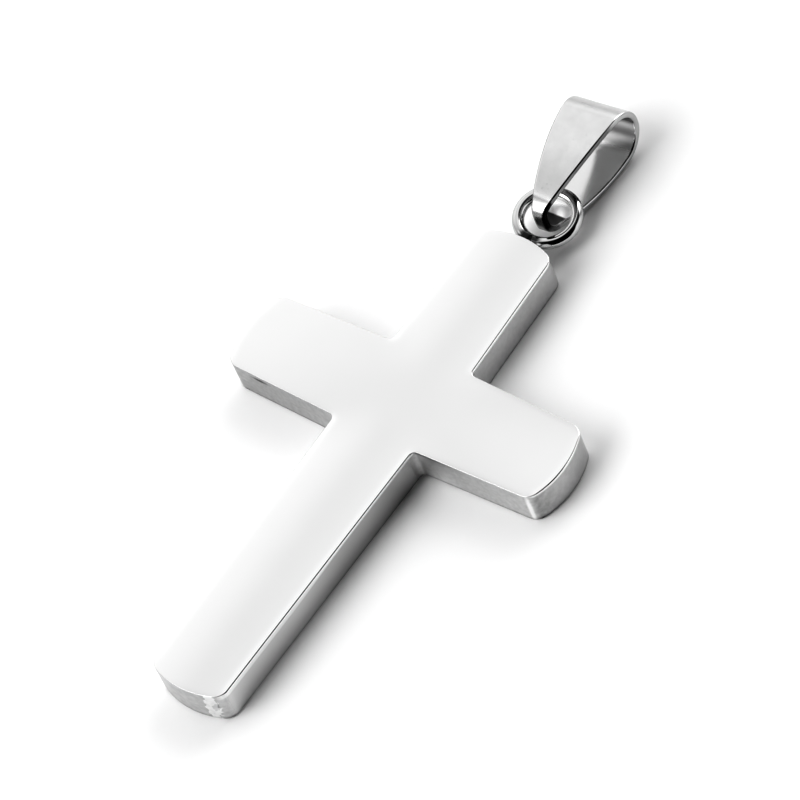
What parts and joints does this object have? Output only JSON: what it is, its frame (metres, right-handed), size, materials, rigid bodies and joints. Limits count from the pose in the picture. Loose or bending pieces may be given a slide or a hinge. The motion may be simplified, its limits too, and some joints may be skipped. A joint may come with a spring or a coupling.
{
  "type": "cross pendant",
  "caption": "Thick Latin cross pendant with slightly tapered arms and bowed ends, a small ring soldered to its top and a tapered drop-shaped bail hanging in the ring.",
  "frame": {"origin": "On the surface that the pendant lies on, under the middle of its bounding box", "axes": "+X towards the cross's right arm as seen from the front, +Y from the foot towards the bail, +Z out of the front face, up as it lies on its back"},
  "size_m": [0.034, 0.065, 0.006],
  "materials": {
    "cross_steel": "mirror-polished stainless steel",
    "bail_steel": "polished stainless steel strip"
  },
  "bodies": {
    "root": {"cross": "cross_steel", "bail": "bail_steel"}
  },
  "joints": []
}
